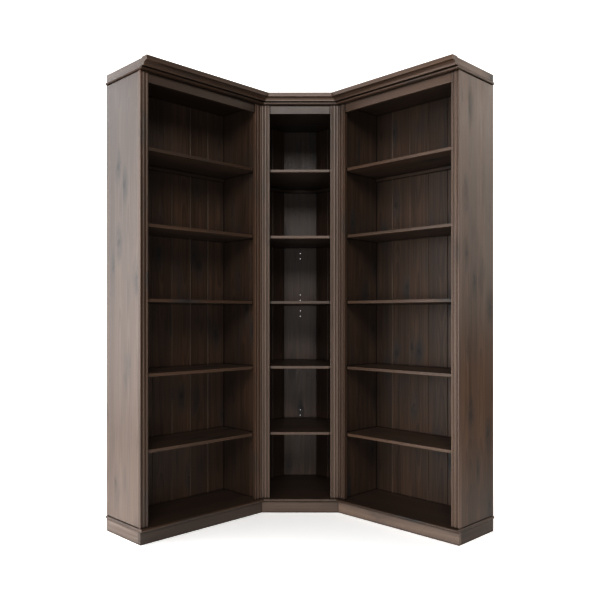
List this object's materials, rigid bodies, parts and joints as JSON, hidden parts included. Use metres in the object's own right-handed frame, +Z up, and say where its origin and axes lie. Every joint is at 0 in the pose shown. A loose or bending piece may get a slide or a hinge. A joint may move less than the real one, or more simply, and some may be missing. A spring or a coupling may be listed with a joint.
{
  "type": "corner bookcase wall",
  "caption": "Tall open corner bookcase in dark-stained pine: straight units along both walls meet a diagonal-front corner unit, with plinth, cornice, fluted stiles and lift-off shelves.",
  "frame": {"origin": "centre of the bounding box at floor level", "axes": "+Z up; the two walls of the room lie on the -X side and the +Y side and meet at the corner -X +Y; the diagonal front faces between +X and -Y"},
  "size_m": [1.325, 1.325, 2.204],
  "materials": {
    "pine_frame": "solid pine, dark brown stain under a satin lacquer",
    "pine_shelf": "edge-glued pine shelf board, dark brown stain, satin",
    "pine_back": "tongue-and-groove pine boards, dark brown stain, satin",
    "beech": "plain beech dowel",
    "steel": "zinc-plated steel"
  },
  "bodies": {
    "carcass": {"corner_back_centre": "pine_back", "corner_back_left": "pine_back", "corner_back_right": "pine_back", "corner_bottom_board": "pine_frame", "corner_cornice": "pine_frame", "corner_cornice_rail": "pine_frame", "corner_plinth_ends": "pine_frame", "corner_plinth_front": "pine_frame", "corner_shelf_2": "pine_shelf", "corner_shelf_5": "pine_shelf", "corner_side_left": "pine_frame", "corner_side_right": "pine_frame", "corner_stile_left": "pine_frame", "corner_stile_right": "pine_frame", "corner_top_board": "pine_frame", "corner_top_rail": "pine_frame", "dowels": "beech", "joining_plates": "steel", "left_back_boards": "pine_back", "left_bottom_board": "pine_frame", "left_cornice": "pine_frame", "left_cornice_rail": "pine_frame", "left_cornice_return": "pine_frame", "left_plinth_ends": "pine_frame", "left_plinth_front": "pine_frame", "left_shelf_2": "pine_shelf", "left_shelf_5": "pine_shelf", "left_side_inner": "pine_frame", "left_side_outer": "pine_frame", "left_stile_inner": "pine_frame", "left_stile_outer": "pine_frame", "left_top_board": "pine_frame", "left_top_rail": "pine_frame", "right_back_boards": "pine_back", "right_bottom_board": "pine_frame", "right_cornice": "pine_frame", "right_cornice_rail": "pine_frame", "right_cornice_return": "pine_frame", "right_plinth_ends": "pine_frame", "right_plinth_front": "pine_frame", "right_shelf_2": "pine_shelf", "right_shelf_5": "pine_shelf", "right_side_inner": "pine_frame", "right_side_outer": "pine_frame", "right_stile_inner": "pine_frame", "right_stile_outer": "pine_frame", "right_top_board": "pine_frame", "right_top_rail": "pine_frame", "shelf_pins": "steel", "top_screws": "steel", "wall_brackets": "steel"},
    "left_shelf_1_body": {"left_shelf_1": "pine_shelf"},
    "left_shelf_3_body": {"left_shelf_3": "pine_shelf"},
    "left_shelf_4_body": {"left_shelf_4": "pine_shelf"},
    "corner_shelf_1_body": {"corner_shelf_1": "pine_shelf"},
    "corner_shelf_3_body": {"corner_shelf_3": "pine_shelf"},
    "corner_shelf_4_body": {"corner_shelf_4": "pine_shelf"},
    "right_shelf_1_body": {"right_shelf_1": "pine_shelf"},
    "right_shelf_3_body": {"right_shelf_3": "pine_shelf"},
    "right_shelf_4_body": {"right_shelf_4": "pine_shelf"}
  },
  "joints": [
    {"name": "left_shelf_1_lift", "type": "slide", "parent": "carcass", "child": "left_shelf_1_body", "axis": [0, 0, 1], "range_m": [0, 0.064]},
    {"name": "left_shelf_3_lift", "type": "slide", "parent": "carcass", "child": "left_shelf_3_body", "axis": [0, 0, 1], "range_m": [0, 0.064]},
    {"name": "left_shelf_4_lift", "type": "slide", "parent": "carcass", "child": "left_shelf_4_body", "axis": [0, 0, 1], "range_m": [0, 0.064]},
    {"name": "corner_shelf_1_lift", "type": "slide", "parent": "carcass", "child": "corner_shelf_1_body", "axis": [0, 0, 1], "range_m": [0, 0.064]},
    {"name": "corner_shelf_3_lift", "type": "slide", "parent": "carcass", "child": "corner_shelf_3_body", "axis": [0, 0, 1], "range_m": [0, 0.064]},
    {"name": "corner_shelf_4_lift", "type": "slide", "parent": "carcass", "child": "corner_shelf_4_body", "axis": [0, 0, 1], "range_m": [0, 0.064]},
    {"name": "right_shelf_1_lift", "type": "slide", "parent": "carcass", "child": "right_shelf_1_body", "axis": [0, 0, 1], "range_m": [0, 0.064]},
    {"name": "right_shelf_3_lift", "type": "slide", "parent": "carcass", "child": "right_shelf_3_body", "axis": [0, 0, 1], "range_m": [0, 0.064]},
    {"name": "right_shelf_4_lift", "type": "slide", "parent": "carcass", "child": "right_shelf_4_body", "axis": [0, 0, 1], "range_m": [0, 0.064]}
  ]
}
